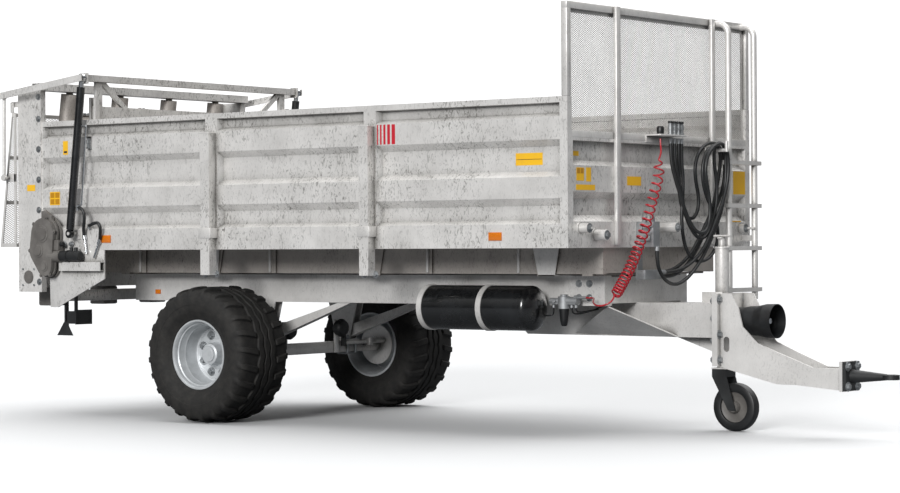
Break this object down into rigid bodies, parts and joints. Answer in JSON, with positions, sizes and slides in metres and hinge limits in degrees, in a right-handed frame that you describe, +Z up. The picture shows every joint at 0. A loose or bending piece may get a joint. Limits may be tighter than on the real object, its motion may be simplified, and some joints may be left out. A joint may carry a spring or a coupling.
{
  "type": "manure spreader",
  "caption": "Single-axle trailed manure spreader with pressed galvanised load box, lifting rear gate, vertical beaters, swing-up cover, drawbar and jack.",
  "frame": {"origin": "bottom centre of the overall box, on the ground under the middle of the machine", "axes": "+X forward to the towing eye, +Y to the machine's left side, +Z up"},
  "size_m": [6.694, 2.396, 2.7],
  "materials": {
    "black_paint": "semi-gloss black enamel",
    "black_plastic": "satin black moulding",
    "bright_steel": "ground chromed piston rod",
    "dark_cast": "dark grey painted casting",
    "galvanised": "hot-dip galvanised sheet and section with a fine spangle",
    "plain_steel": "bare machined steel",
    "rim_silver": "silver enamel",
    "tyre_rubber": "matt black tyre rubber"
  },
  "bodies": {
    "frame": {"air_tank": "black_paint", "axle": "galvanised", "axle_brackets": "galvanised", "beater_frame": "galvanised", "brake_valve": "black_plastic", "chain_tensioners": "galvanised", "chassis": "galvanised", "conveyor_chains": "plain_steel", "conveyor_gearbox": "dark_cast", "conveyor_shafts": "plain_steel", "cylinder_feet": "galvanised", "drawbar": "galvanised", "floor": "galvanised", "front_guard": "galvanised", "front_wall": "galvanised", "gate_guides": "galvanised", "hitch_neck": "galvanised", "jack_tube": "galvanised", "ladder": "galvanised", "pto_guard": "black_plastic", "rear_lights": "black_plastic", "rear_side_plates": "galvanised", "side_wall_left": "galvanised", "side_wall_right": "galvanised", "tank_straps": "galvanised", "towing_eye": "black_paint", "trough": "galvanised", "valve_block": "galvanised"},
    "pto_input": {"pto_shaft": "plain_steel"},
    "jack_leg": {"jack_leg": "galvanised"},
    "caster_fork": {"caster_fork": "dark_cast"},
    "caster_wheel": {"caster_wheel": "tyre_rubber"},
    "gate": {"gate": "galvanised"},
    "rear_cover": {"rear_cover": "galvanised"},
    "cylinder_barrel_left": {"cylinder_barrel_left": "black_paint"},
    "cylinder_rod_left": {"cylinder_rod_left": "bright_steel"},
    "cover_link_left": {"cover_link_left": "galvanised"},
    "wheel_left": {"rim_left": "rim_silver", "tyre_left": "tyre_rubber"},
    "cylinder_barrel_right": {"cylinder_barrel_right": "black_paint"},
    "cylinder_rod_right": {"cylinder_rod_right": "bright_steel"},
    "cover_link_right": {"cover_link_right": "galvanised"},
    "wheel_right": {"rim_right": "rim_silver", "tyre_right": "tyre_rubber"},
    "beater_1": {"beater_1": "galvanised"},
    "beater_2": {"beater_2": "galvanised"},
    "beater_3": {"beater_3": "galvanised"},
    "beater_4": {"beater_4": "galvanised"}
  },
  "joints": [
    {"name": "pto_spin", "type": "hinge", "parent": "frame", "child": "pto_input", "pos_m": [1.683, 0, 0.723], "axis": [1, 0, 0], "continuous": true},
    {"name": "jack_slide", "type": "slide", "parent": "frame", "child": "jack_leg", "axis": [0, 0, 1], "range_m": [0, 0.14]},
    {"name": "caster_swivel", "type": "hinge", "parent": "jack_leg", "child": "caster_fork", "pos_m": [1.966, 0.25, 0.156], "axis": [0, 0, 1], "continuous": true},
    {"name": "caster_spin", "type": "hinge", "parent": "caster_fork", "child": "caster_wheel", "pos_m": [2.066, 0.25, 0.156], "axis": [0, 1, 0], "continuous": true},
    {"name": "gate_slide", "type": "slide", "parent": "frame", "child": "gate", "axis": [0, 0, 1], "range_m": [0, 0.75]},
    {"name": "cover_hinge", "type": "hinge", "parent": "frame", "child": "rear_cover", "pos_m": [-3.217, 0, 2.254], "axis": [0, 1, 0], "range_deg": [0, 127.4]},
    {"name": "cylinder_hinge_left", "type": "hinge", "parent": "frame", "child": "cylinder_barrel_left", "pos_m": [-2.571, 1.164, 1.307], "axis": [0, 1, 0], "range_deg": [-3.05, 0.5]},
    {"name": "cylinder_slide_left", "type": "slide", "parent": "cylinder_barrel_left", "child": "cylinder_rod_left", "axis": [0.1161, 0, 0.9932], "range_m": [0, 0.749]},
    {"name": "link_hinge_left", "type": "hinge", "parent": "gate", "child": "cover_link_left", "pos_m": [-3.246, 1.164, 2.316], "axis": [0, 1, 0], "range_deg": [0, 39.2]},
    {"name": "wheel_spin_left", "type": "hinge", "parent": "frame", "child": "wheel_left", "pos_m": [-1.36, 0.937, 0.47], "axis": [0, 1, 0], "continuous": true},
    {"name": "cylinder_hinge_right", "type": "hinge", "parent": "frame", "child": "cylinder_barrel_right", "pos_m": [-2.571, -1.164, 1.307], "axis": [0, 1, 0], "range_deg": [-3.05, 0.5]},
    {"name": "cylinder_slide_right", "type": "slide", "parent": "cylinder_barrel_right", "child": "cylinder_rod_right", "axis": [0.1161, 0, 0.9932], "range_m": [0, 0.749]},
    {"name": "link_hinge_right", "type": "hinge", "parent": "gate", "child": "cover_link_right", "pos_m": [-3.246, -1.164, 2.316], "axis": [0, 1, 0], "range_deg": [0, 39.2]},
    {"name": "wheel_spin_right", "type": "hinge", "parent": "frame", "child": "wheel_right", "pos_m": [-1.36, -0.937, 0.47], "axis": [0, 1, 0], "continuous": true},
    {"name": "beater_spin_1", "type": "hinge", "parent": "frame", "child": "beater_1", "pos_m": [-3.04319, -0.785, 1.7], "axis": [0.1323, 0, 0.9912], "continuous": true},
    {"name": "beater_spin_2", "type": "hinge", "parent": "frame", "child": "beater_2", "pos_m": [-3.04319, -0.262, 1.7], "axis": [0.1323, 0, 0.9912], "continuous": true},
    {"name": "beater_spin_3", "type": "hinge", "parent": "frame", "child": "beater_3", "pos_m": [-3.04319, 0.262, 1.7], "axis": [0.1323, 0, 0.9912], "continuous": true},
    {"name": "beater_spin_4", "type": "hinge", "parent": "frame", "child": "beater_4", "pos_m": [-3.04319, 0.785, 1.7], "axis": [0.1323, 0, 0.9912], "continuous": true}
  ],
  "couplings": [
    {"joint": "cylinder_hinge_left", "follows": "gate_slide", "rad_per_m": -0.066219},
    {"joint": "cylinder_slide_left", "follows": "gate_slide", "ratio": 0.99596},
    {"joint": "link_hinge_left", "follows": "gate_slide", "rad_per_m": 0.89946},
    {"joint": "cylinder_hinge_right", "follows": "gate_slide", "rad_per_m": -0.066219},
    {"joint": "cylinder_slide_right", "follows": "gate_slide", "ratio": 0.99596},
    {"joint": "link_hinge_right", "follows": "gate_slide", "rad_per_m": 0.89946},
    {"joint": "cover_hinge", "follows": "gate_slide", "rad_per_m": 2.9541},
    {"joint": "beater_spin_2", "follows": "beater_spin_1", "ratio": -1},
    {"joint": "beater_spin_3", "follows": "beater_spin_1", "ratio": 1},
    {"joint": "beater_spin_4", "follows": "beater_spin_1", "ratio": -1}
  ]
}
